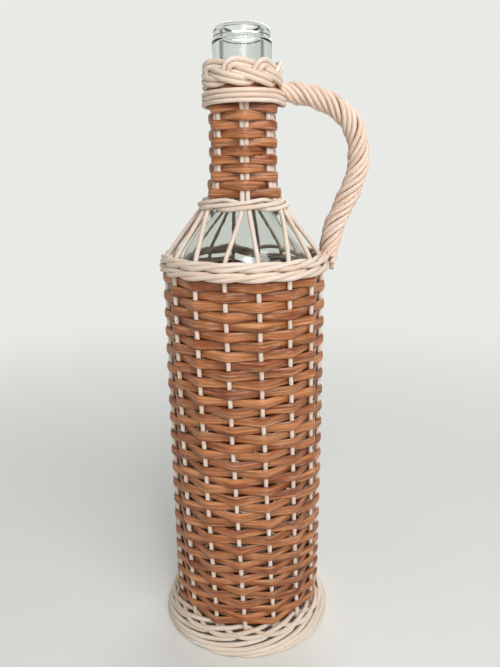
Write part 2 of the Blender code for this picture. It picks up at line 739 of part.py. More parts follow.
draw("body_weaver", body_route(BODY_ROWS, body_bottom, body_pitch, STRIP_THICKNESS), body_strip_guide, 1,
     finish("body_strip", BROWN_STRIP), upright=True)
draw("foot_weaver", body_route(FOOT_ROWS, FOOT_HEIGHT, foot_row_pitch, FOOT_WEAVER_DIAMETER), round_guide,
     FOOT_WEAVER_DIAMETER / 2, finish("foot_weaver_cane", PALE_PITH))
for cane in range(WALE_CANES):
    draw(f"wale_cane_{cane + 1}", wale_route(cane), round_guide, WALE_DIAMETER / 2,
         finish(f"wale_cane_{cane + 1}_cane", PALE_CANE))
    draw(f"neck_ring_cane_{cane + 1}", ring_route(cane), round_guide, RING_DIAMETER / 2,
         finish(f"neck_ring_cane_{cane + 1}_cane", PALE_CANE))
draw("neck_weaver", neck_route(), neck_strip_guide, 1, finish("neck_strip", BROWN_STRIP), upright=True)

binding = binding_route()
print("least gap of the neck binding to itself, mm:",
      round(least_self_gap(binding, BINDING_DIAMETER, BINDING_STEPS / 2) / MM, 3))
draw("neck_binding", binding, winding_guide, BINDING_DIAMETER / 2, finish("neck_binding_cane", PALE_PITH))

for cane, route in enumerate(collar_routes()):
    draw(f"collar_cane_{cane + 1}", route, round_guide, COLLAR_DIAMETER / 2,
         finish(f"collar_cane_{cane + 1}_cane", PALE_CANE), closed=True)

core_count = round(spaced(handle_line(), 2)[2] / HANDLE_CORE_STEP)
core_radius = (HANDLE_LAY_RADIUS * math.cos(math.pi / HANDLE_STEPS_PER_LAY)
               - HANDLE_CANE_DIAMETER / 2 - CLEARANCE)
draw("handle_core", spaced(handle_line(), core_count)[0], round_guide, core_radius,
     finish("handle_core_cane", CORE_CANE))
for cane in range(HANDLE_CANES):
    draw(f"handle_cane_{cane + 1}", handle_cane_route(cane), round_guide, HANDLE_CANE_DIAMETER / 2,
         finish(f"handle_cane_{cane + 1}_cane", PALE_CANE))

number = 1
for lower, sticks in ((True, BASE_LOWER_STICKS), (False, BASE_UPPER_STICKS)):
    for stick in range(sticks):
        draw(f"base_stick_{number}", base_stick_route(stick, lower), round_guide, BASE_STICK_DIAMETER / 2,
             finish(f"base_stick_{number}_cane", CORE_CANE), upright=True)
        number += 1
draw("base_weaver", base_weaver_route(), round_guide, BASE_WEAVER_DIAMETER / 2,
     finish("base_weaver_cane", CORE_CANE))
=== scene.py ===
"""Looks of the wicker-covered bottle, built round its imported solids.

The bottle stands on +Z with its axis through the origin, its front at -Y and its handle at +X.
Lengths are in metres, and azimuths in degrees from the front, turning towards the handle.
"""

import math

import bmesh
import bpy
import numpy as np
from mathutils import Matrix, Vector, noise


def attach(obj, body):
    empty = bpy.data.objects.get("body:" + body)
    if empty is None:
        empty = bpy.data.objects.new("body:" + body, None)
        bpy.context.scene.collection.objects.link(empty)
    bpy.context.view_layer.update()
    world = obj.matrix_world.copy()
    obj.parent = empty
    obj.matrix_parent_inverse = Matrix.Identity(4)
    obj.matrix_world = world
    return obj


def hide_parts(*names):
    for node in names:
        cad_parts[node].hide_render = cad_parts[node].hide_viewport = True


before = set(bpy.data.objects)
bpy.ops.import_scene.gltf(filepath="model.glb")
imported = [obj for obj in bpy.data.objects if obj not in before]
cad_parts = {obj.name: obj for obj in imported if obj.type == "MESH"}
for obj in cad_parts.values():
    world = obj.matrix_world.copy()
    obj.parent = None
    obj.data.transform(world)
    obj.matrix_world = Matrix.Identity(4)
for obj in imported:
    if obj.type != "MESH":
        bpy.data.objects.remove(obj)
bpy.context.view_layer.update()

# Glass bottle.
# A clear bottle of faintly green soda-lime glass, blown in a mould in one piece: an upright body, a
# cone shoulder, a narrow neck, and a finish with a wide ring, a groove and a round lip.

MM = 0.001
GLASS_SEAT = 6.22 * MM
GLASS_RADIUS = 37.8 * MM
GLASS_WALL = 2.8 * MM
GLASS_FLOOR = 4.0 * MM
HEEL_RADIUS = 16.0 * MM
SHOULDER_HEIGHT = 208.96 * MM
SHOULDER_RADIUS = 34.0 * MM
NECK_ROOT_HEIGHT = 242.04 * MM
NECK_ROOT_RADIUS = 14.0 * MM
GLASS_NECK_RADIUS = 12.3 * MM
BORE_RADIUS = 9.25 * MM
BORE_ROUNDING = 1.1 * MM
FINISH_FOOT = 298.5 * MM
FINISH_RADIUS = 14.4 * MM
FINISH_BEVEL = 1.6 * MM
RING_TOP = 314.4 * MM
RING_ROUNDING = 1.1 * MM
GROOVE_RADIUS = 13.0 * MM
GROOVE_TOP = 315.7 * MM
GROOVE_ROUNDING = 0.5 * MM
LIP_RADIUS = 13.6 * MM
LIP_ROUNDING = 2.6 * MM
GLASS_TOP = 320.43 * MM
GLASS_SIDES = 128
GLASS_ARC_STEP = 7.5
MERGE_DISTANCE = 0.003 * MM


def linear(code):
    """A colour written as sRGB hex, as the linear one that a shader reads."""
    shares = [int(code[start:start + 2], 16) / 255 for start in (1, 3, 5)]
    return (*[s / 12.92 if s <= 0.04045 else ((s + 0.055) / 1.055) ** 2.4 for s in shares], 1.0)


def add_node(tree, kind, links=None, values=None, out=None, **settings):
    """A node with its settings, the sockets that it reads and the values of its others.

    Sockets go by identifier or name. With out, the socket of that name is returned.
    """
    made = tree.nodes.new(kind)
    for key, value in settings.items():
        setattr(made, key, value)

    def find(sockets, key):
        return next(socket for socket in sockets if key in (socket.identifier, socket.name))

    for key, value in (values or {}).items():
        find(made.inputs, key).default_value = value
    for key, source in (links or {}).items():
        tree.links.new(source, find(made.inputs, key))
    return find(made.outputs, out) if out else made


def new_material(name):
    """A material with a bare node tree, and that tree."""
    material = bpy.data.materials.new(name)
    material.use_nodes = True
    material.node_tree.nodes.clear()
    return material, material.node_tree


def rounded(corners, arc_step):
    """An outline through corners (x, y, bend radius), each corner turned by an arc."""
    points = [Vector(corners[0][:2])]
    for before, corner, after in zip(corners, corners[1:], corners[2:]):
        here = Vector(corner[:2])
        arrive = (here - Vector(before[:2])).normalized()
        leave = (Vector(after[:2]) - here).normalized()
        turn = arrive.angle(leave)
        if corner[2] == 0 or turn == 0:
            points.append(here)
            continue
        start = here - arrive * corner[2] * math.tan(turn / 2)
        side = Vector((-arrive.y, arrive.x))
        if side.dot(leave) < 0:
            side = -side
        centre = start + side * corner[2]
        steps = max(1, round(math.degrees(turn) / arc_step))
        for step in range(steps + 1):
            swept = turn * step / steps
            points.append(centre + (arrive * math.sin(swept) - side * math.cos(swept)) * corner[2])
    points.append(Vector(corners[-1][:2]))
    return points


def add_piece(name, mesh, material, slot, *nodes):
    """A finished piece that rides on the bottle and stands for its solids."""
    mesh.materials.clear()
    mesh.materials.append(material)
    piece = bpy.data.objects.new(name, mesh)
    bpy.context.scene.collection.objects.link(piece)
    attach(piece, "root")
    if nodes:
        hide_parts(*nodes)
    return piece


def glass_outline():
    """Up the outside of the bottle, over its lip, down the inside and along its floor."""
    slope = (GLASS_NECK_RADIUS - GLASS_RADIUS) / (NECK_ROOT_HEIGHT - SHOULDER_HEIGHT)
    drop = GLASS_WALL * math.tan(math.atan(-slope) / 2)
    inner_radius = GLASS_RADIUS - GLASS_WALL
    inner_shoulder = SHOULDER_HEIGHT - drop
    inner_neck = inner_shoulder + (BORE_RADIUS - inner_radius) / slope
    return rounded([
        (0, GLASS_SEAT, 0),
        (GLASS_RADIUS, GLASS_SEAT, HEEL_RADIUS),
        (GLASS_RADIUS, SHOULDER_HEIGHT, SHOULDER_RADIUS),
        (GLASS_NECK_RADIUS, NECK_ROOT_HEIGHT, NECK_ROOT_RADIUS),
        (GLASS_NECK_RADIUS, FINISH_FOOT - FINISH_BEVEL, GROOVE_ROUNDING),
        (FINISH_RADIUS, FINISH_FOOT, GROOVE_ROUNDING),
        (FINISH_RADIUS, RING_TOP, RING_ROUNDING),
        (GROOVE_RADIUS, RING_TOP, GROOVE_ROUNDING / 2),
        (GROOVE_RADIUS, GROOVE_TOP, GROOVE_ROUNDING / 2),
        (LIP_RADIUS, GROOVE_TOP, GROOVE_ROUNDING / 2),
        (LIP_RADIUS, GLASS_TOP, LIP_ROUNDING),
        (BORE_RADIUS, GLASS_TOP, BORE_ROUNDING),
        (BORE_RADIUS, inner_neck, NECK_ROOT_RADIUS + GLASS_WALL),
        (inner_radius, inner_shoulder, SHOULDER_RADIUS - GLASS_WALL),
        (inner_radius, GLASS_SEAT + GLASS_FLOOR, HEEL_RADIUS - GLASS_WALL),
        (0, GLASS_SEAT + GLASS_FLOOR, 0),
    ], GLASS_ARC_STEP)


def turn_outline(points, sides):
    """Spin an outline round the bottle's axis into one closed wall."""
    shape = bmesh.new()
    spots = [shape.verts.new((point.x, 0, point.y)) for point in points]
    edges = [shape.edges.new(pair) for pair in zip(spots, spots[1:])]
    bmesh.ops.spin(
        shape, geom=spots + edges, cent=(0, 0, 0), axis=(0, 0, 1), dvec=(0, 0, 0),
        angle=2 * math.pi, steps=sides, use_merge=True, use_duplicate=False,
    )
    bmesh.ops.remove_doubles(shape, verts=shape.verts, dist=MERGE_DISTANCE)
    bmesh.ops.recalc_face_normals(shape, faces=shape.faces)
    mesh = bpy.data.meshes.new("turned")
    shape.to_mesh(mesh)
    shape.free()
    mesh.shade_smooth()
    return mesh


# Moulded soda-lime glass: clear and hard, with a green-grey cast where it is seen edge on, and a
# slightly wavy skin from the mould that bends what lies behind it.
glass, tree = new_material("moulded_soda_lime_glass")
spots = add_node(tree, "ShaderNodeTexCoord", out="Object")
waves = add_node(tree, "ShaderNodeTexNoise", {"Vector": spots},
                 {"Scale": 1 / (16 * MM), "Detail": 1.0}, "Fac")
skin = add_node(tree, "ShaderNodeBump", {"Height": waves},
                {"Strength": 0.1, "Distance": 0.4 * MM}, "Normal")
shader = add_node(tree, "ShaderNodeBsdfPrincipled", {"Normal": skin}, {
    "Base Color": linear("#F6F8F6"), "Roughness": 0.01, "IOR": 1.51, "Transmission Weight": 1.0,
}, "BSDF")
depth = add_node(tree, "ShaderNodeVolumeAbsorption", values={"Color": linear("#BCD0BC"), "Density": 20.0},
                 out="Volume")
add_node(tree, "ShaderNodeOutputMaterial", {"Surface": shader, "Volume": depth})

add_piece("bottle_glass", turn_outline(glass_outline(), GLASS_SIDES), glass, "clear_glass", "glass_bottle")

# Woven base.
# Under the glass, five sticks of cane cross each other, three below and two above, and fan out to
# ten arms. A thin cane is woven round them over and under, and the bottle sits on it.

CLEARANCE = 0.28 * MM
BASE_STICK_DIAMETER = 2.2 * MM
BASE_WEAVER_DIAMETER = 1.5 * MM
BASE_STICK_FLAT = 0.89 * MM
BASE_ARM_HEIGHT = 3.16 * MM
BASE_ARM_REACH = 2.08 * MM
BASE_CROSS_LENGTH = 12.0 * MM
BASE_FAN_RADIUS = 14.0 * MM
BASE_ARM_RADIUS = 31.78 * MM
BASE_WEAVE_INNER = 15.5 * MM
BASE_LOWER_STICKS = 3
BASE_UPPER_STICKS = 2
BASE_ARMS = 2 * (BASE_LOWER_STICKS + BASE_UPPER_STICKS)
BASE_ARM_SPACING = 360 / BASE_ARMS
BASE_TURNS = 6
HANDLE_AZIMUTH = 90.0
SWELL_SIZE = 18 * MM
GRAIN_APART = 0.7
SHARP_ANGLE = 60.0


def place(radius, azimuth, height):
    """A point at a radius and an azimuth round the bottle."""
    turn = math.radians(azimuth)
    return Vector((radius * math.sin(turn), -radius * math.cos(turn), height))


def smooth(points, pieces, closed=False):
    """A smooth curve through points, with so many pieces from each to the next."""
    if closed:
        knots = [points[-1], *points, points[0], points[1]]
    else:
        knots = [2 * points[0] - points[1], *points, 2 * points[-1] - points[-2]]
    curve = []
    for before, start, end, after in zip(knots, knots[1:], knots[2:], knots[3:]):
        for step in range(pieces):
            t = step / pieces
            ahead, pull = (after - start) / 2, (end - before) / 2
            curve.append(
                start * (2 * t**3 - 3 * t**2 + 1) + end * (3 * t**2 - 2 * t**3)
                + pull * (t**3 - 2 * t**2 + t) + ahead * (t**3 - t**2)
            )
    return curve if closed else [*curve, points[-1]]


def wander(along, seed, reach, size):
    """Where a cane strays to, by up to reach, in waves about size long. The seed tells canes apart."""
    spot = Vector((along / size, 13.7 * seed, 5.1 * seed))
    return reach * noise.noise(spot)


def round_section(sides):
    """The outline of a round cane of radius 1."""
    turns = [2 * math.pi * side / sides for side in range(sides)]
    return [(math.sin(turn), math.cos(turn)) for turn in turns]


def draw(name, route, section, scale=1.0, upright=False, closed=False, swell=0.0, seed=0):
    """Draw a section along a route, as a mesh whose points know where on the cane they lie.

    The attribute cane_place holds how far along the cane a point is and where on its section, in
    metres, so that the grain follows the cane. Swell is the share by which its thickness varies,
    and the seed sets each cane far enough along the grain to have fibres of its own.
    """
    guide_data = bpy.data.curves.new("section", "CURVE")
    guide_data.dimensions = "2D"
    guide_data.fill_mode = "NONE"
    outline = guide_data.splines.new("POLY")
    outline.points.add(len(section) - 1)
    for point, (across, up) in zip(outline.points, section):
        point.co = (across, up, 0, 1)
    outline.use_cyclic_u = True
    guide = bpy.data.objects.new("section", guide_data)
    data = bpy.data.curves.new(name, "CURVE")
    data.dimensions = "3D"
    data.twist_mode = "Z_UP" if upright else "MINIMUM"
    data.bevel_mode = "OBJECT"
    data.bevel_object = guide
    spline = data.splines.new("POLY")
    spline.points.add(len(route) - 1)
    spline.use_cyclic_u = closed
    start = GRAIN_APART * seed
    places = []
    along = 0
    for index, (point, where) in enumerate(zip(spline.points, route)):
        along += (where - route[index - 1]).length if index else 0
        size = scale * (1 + wander(along, seed + 0.5, swell, SWELL_SIZE))
        point.co = (*where, 1.0)
        point.radius = size
        places += [(start + along, across * size, up * size) for across, up in section]
    holder = bpy.data.objects.new(name, data)
    for thing in (guide, holder):
        bpy.context.scene.collection.objects.link(thing)
    bpy.context.view_layer.update()
    drawn = holder.evaluated_get(bpy.context.evaluated_depsgraph_get())
    mesh = bpy.data.meshes.new_from_object(drawn)
    for thing in (holder, guide):
        bpy.data.objects.remove(thing, do_unlink=True)
    attribute = mesh.attributes.new("cane_place", "FLOAT_VECTOR", "POINT")
    attribute.data.foreach_set("vector", np.array(places, np.float32).ravel())
    return mesh


def close_ends(mesh):
    """Fill the open ends of a drawn cane, with every face outwards, and shade it smooth."""
    shape = bmesh.new()
    shape.from_mesh(mesh)
    bmesh.ops.holes_fill(shape, edges=[edge for edge in shape.edges if edge.is_boundary], sides=0)
    bmesh.ops.recalc_face_normals(shape, faces=shape.faces)
    shape.to_mesh(mesh)
    shape.free()
    mesh.shade_smooth()
    mesh.set_sharp_from_angle(angle=math.radians(SHARP_ANGLE))
    return mesh


def cane(name, route, section, scale, **settings):
    """A finished cane, with closed ends."""
    return close_ends(draw(name, route, section, scale, **settings))


def base_stick(stick, lower):
    """A base stick: straight where the sticks cross, then fanned out to two arms."""
    sticks = BASE_LOWER_STICKS if lower else BASE_UPPER_STICKS
    place_across = stick - (sticks - 1) / 2
    height = BASE_STICK_FLAT if lower else BASE_ARM_HEIGHT
    route = []
    for way in (-1, 1):
        across = place_across * (BASE_STICK_DIAMETER + CLEARANCE)
        half = [Vector((way * BASE_CROSS_LENGTH / 2, across, height))]
        angle = math.radians(way * place_across * BASE_ARM_SPACING)
        for radius in (BASE_FAN_RADIUS, (BASE_FAN_RADIUS + BASE_ARM_RADIUS) / 2, BASE_ARM_RADIUS):
            reach = way * radius
            half.append(Vector((reach * math.cos(angle), reach * math.sin(angle), BASE_ARM_HEIGHT)))
        route += half[::-1] if way < 0 else half
    if not lower:
        route = [Vector((-point.y, point.x, point.z)) for point in route]
    return smooth(route, 5)


def base_weaver():
    """A thin cane that spirals out over and under the arms of the base."""
    reach = BASE_ARM_RADIUS - BASE_WEAVER_DIAMETER - BASE_WEAVE_INNER
    route = []
    for turn in range(BASE_TURNS):
        for arm in range(BASE_ARMS):
            share = (turn + arm / BASE_ARMS) / BASE_TURNS
            side = 1 if (turn + arm) % 2 else -1
            height = BASE_ARM_HEIGHT + side * BASE_ARM_REACH
            azimuth = HANDLE_AZIMUTH + arm * BASE_ARM_SPACING
            route.append(place(BASE_WEAVE_INNER + reach * share, azimuth, height))
    return smooth(route, 6)


def grain(tree, length, width, detail, roughness):
    """Noise drawn out along a cane, in streaks about so long and so wide."""
    where = add_node(tree, "ShaderNodeAttribute", attribute_name="cane_place", out="Vector")
    scale = (1 / length, 1 / width, 1 / width)
    lined = add_node(tree, "ShaderNodeMapping", {"Vector": where}, {"Scale": scale}, "Vector")
    values = {"Scale": 1.0, "Detail": detail, "Roughness": roughness}
    return add_node(tree, "ShaderNodeTexNoise", {"Vector": lined}, values, "Fac")


def remap(tree, value, start, end, low=0.0, high=1.0, **settings):
    """A value brought from one range to another, and held within it."""
    values = {"From Min": start, "From Max": end, "To Min": low, "To Max": high}
    return add_node(tree, "ShaderNodeMapRange", {"Value": value}, values, "Result", **settings)


def cane_material(name, pale, warm, shade, roughness):
    """Peeled cane, drifting along its length from a pale tone to a warm one, with darker fibres."""
    material, tree = new_material(name)
    drift = remap(tree, grain(tree, 38 * MM, 8 * MM, 2.0, 0.6), 0.36, 0.64)
    tone = add_node(tree, "ShaderNodeMix", {"Factor_Float": drift},
                    {"A_Color": linear(warm), "B_Color": linear(pale)}, "Result_Color", data_type="RGBA")
    fibres = grain(tree, 15 * MM, 0.4 * MM, 3.0, 0.6)
    lines = remap(tree, fibres, 0.5, 0.8, 0.0, 0.5)
    colour = add_node(tree, "ShaderNodeMix", {"Factor_Float": lines, "A_Color": tone},
                      {"B_Color": linear(shade)}, "Result_Color", data_type="RGBA")
    gloss = remap(tree, fibres, 0.0, 1.0, roughness - 0.12, roughness + 0.14)
    relief = add_node(tree, "ShaderNodeBump", {"Height": fibres},
                      {"Strength": 0.5, "Distance": 0.12 * MM}, "Normal")
    shader = add_node(tree, "ShaderNodeBsdfPrincipled",
                      {"Base Color": colour, "Roughness": gloss, "Normal": relief},
                      {"IOR": 1.46, "Specular IOR Level": 0.42}, "BSDF")
    add_node(tree, "ShaderNodeOutputMaterial", {"Surface": shader})
    return material


# Dry inner cane: tan and dull, seen only from below.
core_cane = cane_material("dry_inner_cane", "#C9A77C", "#AD8457", "#7A5634", 0.68)
round_12 = round_section(12)
for number in range(BASE_LOWER_STICKS + BASE_UPPER_STICKS):
    name = f"base_stick_{number + 1}"
    lower = number < BASE_LOWER_STICKS
    stick = number if lower else number - BASE_LOWER_STICKS
    mesh = cane(name, base_stick(stick, lower), round_12, BASE_STICK_DIAMETER / 2, swell=0.05, seed=number)
    add_piece(f"{name}_cane", mesh, core_cane, "core_cane", name)
mesh = cane("base_weaver", base_weaver(), round_section(8), BASE_WEAVER_DIAMETER / 2, swell=0.08, seed=6)
add_piece("base_weaver_cane", mesh, core_cane, "core_cane", "base_weaver")

# Stakes.
# Sixteen round canes of peeled willow carry the weave. Each is hooked under the bottle, stands
# against its side, bends over the bare shoulder as a rib, and goes up the neck beside its neighbour.

STAKES = 16
SPACING = 360 / STAKES
STAKE_DIAMETER = 2.3 * MM
STAKE_RADIUS = 40.41 * MM
FRONT_STAKE_AZIMUTH = -11.25
TWIST_AT_FOOT = 10.9
TWIST_POWER = 1.3
HOOK_REACH = 7.2 * MM
HOOK_RADIUS = 6.0 * MM
HOOK_HEIGHT = 4.0 * MM
BAND_BEND_RADIUS = 12.0 * MM
RIB_FOOT = Vector((39.56 * MM, 213.05 * MM))
RIB_TOP = Vector((22.6 * MM, 235.05 * MM))
NECK_BEND_RADIUS = 10.0 * MM
NECK_STAKE_RADIUS = 15.02 * MM
NECK_FLARE = 2.3 * MM
NECK_FLARE_HEIGHT = 12.0 * MM
NECK_FLARE_BEND = 30.0 * MM
STAKE_TOP = 292.9 * MM
STAKE_STEP = 2.6 * MM
STAKE_STRAY = (0.35 * MM, 22 * MM)
GROUP_SIZES = (3, 2, 2, 2, 3, 2, 2)
GROUPS = len(GROUP_SIZES)
GROUP_SPACING = 360 / GROUPS
FRONT_GROUP_AZIMUTH = 4.45
GROUP_SHIFTS = (-3, -7, -7, 0, 9, 8, 3)
FIRST_GROUP_STAKE = 9
PAIR_SPREAD = 4.5
BODY_BOTTOM = 17.25 * MM
BODY_TOP = 204.45 * MM


def stake_profile():
    """Radius and height down the middle of a stake, as evenly spaced points."""
    slope = (RIB_TOP.x - RIB_FOOT.x) / (RIB_TOP.y - RIB_FOOT.y)
    flare_radius = NECK_STAKE_RADIUS + NECK_FLARE
    flare_height = RIB_TOP.y + (flare_radius - RIB_TOP.x) / slope
    corners = rounded([
        (STAKE_RADIUS - HOOK_REACH, HOOK_HEIGHT, 0),
        (STAKE_RADIUS, HOOK_HEIGHT, HOOK_RADIUS),
        (STAKE_RADIUS, RIB_FOOT.y + (STAKE_RADIUS - RIB_FOOT.x) / slope, BAND_BEND_RADIUS),
        (flare_radius, flare_height, NECK_BEND_RADIUS),
        (NECK_STAKE_RADIUS, flare_height + NECK_FLARE_HEIGHT, NECK_FLARE_BEND),
        (NECK_STAKE_RADIUS, STAKE_TOP, 0),
    ], 10)
    points = []
    for start, end in zip(corners, corners[1:]):
        pieces = max(1, round((end - start).length / STAKE_STEP))
        points += [start.lerp(end, piece / pieces) for piece in range(pieces)]
    return [*points, corners[-1]]


stake_line = stake_profile()
upright_line = [point for point in stake_line if point.y > HOOK_HEIGHT + HOOK_RADIUS]


def stake_at(height):
    """Radius of the stakes' middle line at a height."""
    radii, heights = zip(*upright_line)
    return float(np.interp(height, heights, radii))


def stake_azimuth(index, height):
    """Azimuth of a stake on the body, counted from the front one. They twist towards the foot."""
    share = max(0, (BODY_TOP - height) / (BODY_TOP - BODY_BOTTOM))
    return FRONT_STAKE_AZIMUTH + index * SPACING + TWIST_AT_FOOT * share**TWIST_POWER


def group_azimuth(station):
    """Azimuth of a group of stakes on the neck, counted from the one opposite the front.

    The groups stand a little unevenly round the neck, each off its even place by a shift.
    """
    shift = float(np.interp(station % GROUPS, range(GROUPS + 1), (*GROUP_SHIFTS, GROUP_SHIFTS[0])))
    return FRONT_GROUP_AZIMUTH + (station - GROUPS // 2) * GROUP_SPACING + shift


def neck_azimuths():
    """For each stake, counted from the front one, its azimuth on the neck."""
    azimuths = {}
    stake = FIRST_GROUP_STAKE
    for group, size in enumerate(GROUP_SIZES):
        for member in range(size):
            azimuths[stake % STAKES] = group_azimuth(group) + (2 * member - (size - 1)) * PAIR_SPREAD
            stake += 1
    return azimuths


def soften(route):
    """A route with its sharp bends eased."""
    return [route[0], *[(a + 2 * b + c) / 4 for a, b, c in zip(route, route[1:], route[2:])], route[-1]]


def stake_route(index, neck_azimuth):
    """A stake: up the body, over the shoulder in a straight line, and up the neck."""
    low, high = RIB_FOOT.y, RIB_TOP.y
    body_azimuth = stake_azimuth(index, BODY_TOP)
    around = (neck_azimuth - body_azimuth + 180) % 360 - 180
    start = place(RIB_FOOT.x, body_azimuth, low)
    end = place(RIB_TOP.x, body_azimuth + around, high)
    route = []
    for point in stake_line:
        share = (point.y - low) / (high - low)
        if share <= 0:
            azimuth = stake_azimuth(index, point.y)
        elif share >= 1:
            azimuth = body_azimuth + around
        else:
            spot = start.lerp(end, share)
            azimuth = math.degrees(math.atan2(spot.x, -spot.y))
        stray = wander(point.y, index + 30, *STAKE_STRAY)
        route.append(place(point.x, azimuth + math.degrees(stray / point.x), point.y))
    return soften(route)


# Peeled willow: cream and nearly matt, with faint long fibres and a rosy or honey cast here and
# there where the bark has left its colour.
peeled_willow = cane_material("peeled_willow", "#F0E3D6", "#E7CFB9", "#B28C69", 0.55)
azimuths = neck_azimuths()
for number in range(STAKES):
    index = 1 - STAKES // 2 + number
    name = f"stake_{number + 1:02d}"
    route = stake_route(index, azimuths[index % STAKES])
    mesh = cane(name, route, round_12, STAKE_DIAMETER / 2, swell=0.09, seed=10 + number)
    add_piece(f"{name}_cane", mesh, peeled_willow, "pale_cane", name)

# Foot weave.
# One thin peeled cane starts the wall. It goes three times round and out a little towards the foot,
# each time in front of two stakes, rising as it goes, and behind the third.

FOOT_HEIGHT = 9.5 * MM
FOOT_ROUNDS = 3
FOOT_WEAVER_DIAMETER = 2.35 * MM
FOOT_WEAVE = (
    (38.3 * MM, 13.3 * MM), (42.6 * MM, 10.9 * MM), (44.3 * MM, 10.1 * MM),
    (44.2 * MM, 10.9 * MM), (43.3 * MM, 13.0 * MM), (41.5 * MM, 13.7 * MM),
)
FOOT_WEAVE_PIECES = 4
BACK_STAKE = 1 - STAKES // 2


def foot_weave():
    """The cane of the foot weave, nearly straight from stake to stake and behind every third.

    Its radius and height go by half steps, from behind a stake to behind the third one after it.
    """
    stops = []
    for half_step in range(2 * FOOT_ROUNDS * STAKES + 1):
        radius, height = FOOT_WEAVE[half_step % len(FOOT_WEAVE)]
        stops.append(place(radius, stake_azimuth(BACK_STAKE + half_step / 2, height), height))
    route = []
    for start, end in zip(stops, stops[1:]):
        route += [start.lerp(end, piece / FOOT_WEAVE_PIECES) for piece in range(FOOT_WEAVE_PIECES)]
    return soften(soften([*route, stops[-1]]))


# Thin peeled willow: a little greyer and duller than the stakes.
foot_willow = cane_material("thin_peeled_willow", "#F1E4D6", "#E5D0BA", "#A4835F", 0.6)
mesh = cane("foot_weaver", foot_weave(), round_12, FOOT_WEAVER_DIAMETER / 2, swell=0.12, seed=41)
add_piece("foot_weaver_cane", mesh, foot_willow, "pale_cane", "foot_weaver")

# Foot border.
# Beside each stake a cane leaves the wall and lies in a long falling arc under its neighbours, so
# that four or five lie nested at any place and make the ring the bottle stands on.

FOOT_CANE_DIAMETER = 2.4 * MM
FOOT_CANE_FLAT = 0.98 * MM
FOOT_FALL = 2.12 * MM
FOOT_LAYERS = 4
FOOT_LIFT = 0.6 * MM
FOOT_LIFT_STEPS = 4
FOOT_OUT = 6.4 * MM
FOOT_OUT_SHARES = (0.5, 0.65, 0.79, 0.9, 0.95, 0.99, 1, 0.95, 0.76)
FOOT_START_AZIMUTH = 3.6


def foot_route(index):
    """A cane that starts beside a stake and lies in a long falling arc round the foot.

    Its upper end is lifted a little, up to the weave above it.
    """
    start_azimuth = stake_azimuth(index, FOOT_HEIGHT) - FOOT_START_AZIMUTH
    start_height = FOOT_CANE_FLAT + FOOT_LAYERS * FOOT_FALL + FOOT_LIFT
    route = [place(STAKE_RADIUS + STAKE_DIAMETER / 2, start_azimuth, start_height)]
    for step, out in enumerate(FOOT_OUT_SHARES, start=1):
        above = max(0, FOOT_LAYERS - step / 2) * FOOT_FALL
        lift = max(0, 1 - step / FOOT_LIFT_STEPS) * FOOT_LIFT
        height = FOOT_CANE_FLAT + above + lift
        azimuth = stake_azimuth(index, 0) - step / 2 * SPACING
        route.append(place(STAKE_RADIUS + FOOT_OUT * out, azimuth, height))
    return smooth(route, 5)


for number in range(STAKES):
    name = f"foot_cane_{number + 1:02d}"
    route = foot_route(BACK_STAKE + number)
    mesh = cane(name, route, round_12, FOOT_CANE_DIAMETER / 2, swell=0.1, seed=50 + number)
    add_piece(f"{name}_cane", mesh, foot_willow, "pale_cane", name)

# Body weave.
# One long strip, split from a thick cane and stained brown, goes round the stakes in forty-one
# tight rows, the lowest ones beaten down hardest. It runs straight from stake to stake, bends round
# those it lies over, and spreads there.

BODY_EDGE = 15.1 * MM
BODY_ROWS = 41
BODY_PACKING = (
    (0, 0), (0.061, 0.052), (0.11, 0.098), (0.207, 0.181), (0.256, 0.226), (0.5, 0.481), (1, 1),
)
STRIP_WIDTHS = (4.75 * MM, 4.6 * MM, 5.2 * MM)
STRIP_THICKNESS = 1.0 * MM
STRIP_CURL = 0.25 * MM
STRIP_REACH = 1.95 * MM
STRIP_STEPS = 9
STRIP_STEP_LENGTH = 1.8 * MM
STRIP_STRAY = (0.2 * MM, 21 * MM)
STRIP_WIDTH_STRAY = (0.08, 16 * MM)
STRIP_CROWN_DROP = 0.8
STRIP_CROWN_HEIGHTS = (0.93, 0.72, 0.4, 0, -0.4, -0.72, -0.93)


def ease(share):
    """From 0 to 1 with a level start and end."""
    return (1 - math.cos(math.pi * share)) / 2


def body_route():
    """The strip round the body, in front of every other stake, with a step up at the back.

    Gives its points, for each from -1 behind a stake to 1 in front of one, and its row's height
    as a share of the mean one.
    """
    route, sides, room = [], [], []
    packed_rows, packed_heights = zip(*BODY_PACKING)

    def risen(rows):
        return float(np.interp(rows / BODY_ROWS, packed_rows, packed_heights))

    def side_at(stop):
        row, station = divmod(stop, STAKES)
        return 1 if (station + BODY_ROWS - row) % 2 else -1

    for count in range((BODY_ROWS * STAKES - 1) * STRIP_STEPS + 1):
        stop, step = divmod(count, STRIP_STEPS)
        row, station = divmod(stop, STAKES)
        share = step / STRIP_STEPS
        row += 0.5 + (ease(share) if station == STAKES - 1 else 0)
        height = BODY_EDGE + risen(row) * (BODY_TOP - BODY_EDGE)
        height += wander(count * STRIP_STEP_LENGTH, 70, *STRIP_STRAY)
        ends = []
        for on in (0, 1):
            radius = STAKE_RADIUS + side_at(stop + on) * STRIP_REACH
            ends.append(place(radius, stake_azimuth(BACK_STAKE + station + on, height), height))
        route.append(ends[0].lerp(ends[1], share))
        sides.append(side_at(stop) + (side_at(stop + 1) - side_at(stop)) * ease(share))
        room.append((risen(row + 0.5) - risen(row - 0.5)) * BODY_ROWS)
    return soften(route), sides, room


